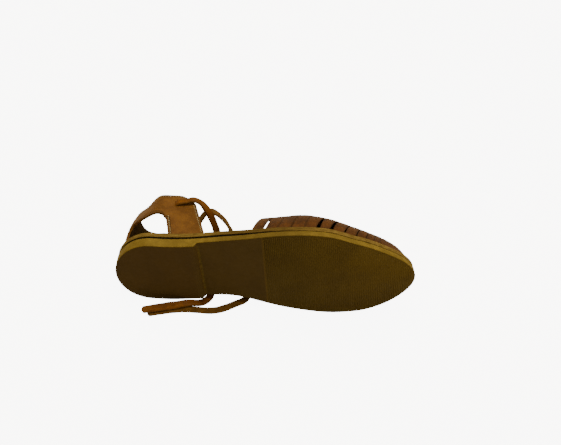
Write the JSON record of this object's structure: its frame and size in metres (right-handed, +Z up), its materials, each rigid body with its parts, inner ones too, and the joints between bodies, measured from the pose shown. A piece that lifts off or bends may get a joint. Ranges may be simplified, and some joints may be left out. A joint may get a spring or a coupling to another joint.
{
  "type": "huarache sandal",
  "caption": "Flat woven leather sandal lying on its side: woven closed toe, heel quarter with side windows, thin ankle ties, layered leather and rubber sole",
  "frame": {"origin": "centre of the base of the shoe's bounding box, on the floor that it lies on, measured without the two ties", "axes": "+X from heel to toe, +Y away from the tread towards the upper, +Z up: the sandal lies on its medial side"},
  "size_m": [0.2518, 0.1008, 0.0857],
  "materials": {
    "outsole_rubber": "matt honey crepe-coloured rubber, darker and worn on the tread",
    "midsole_leather": "raw cut edge of tan sole leather",
    "insole_leather": "smooth tan sock leather",
    "vamp_leather": "mottled reddish brown leather straps with lighter cut edges",
    "quarter_leather": "smooth brown leather with stitched edges",
    "tie_leather": "brown grain side and tan flesh side"
  },
  "bodies": {
    "root": {"outsole": "outsole_rubber", "midsole": "midsole_leather", "insole": "insole_leather", "vamp": "vamp_leather", "quarter": "quarter_leather", "tie_lateral": "tie_leather", "tie_medial": "tie_leather"}
  },
  "joints": []
}
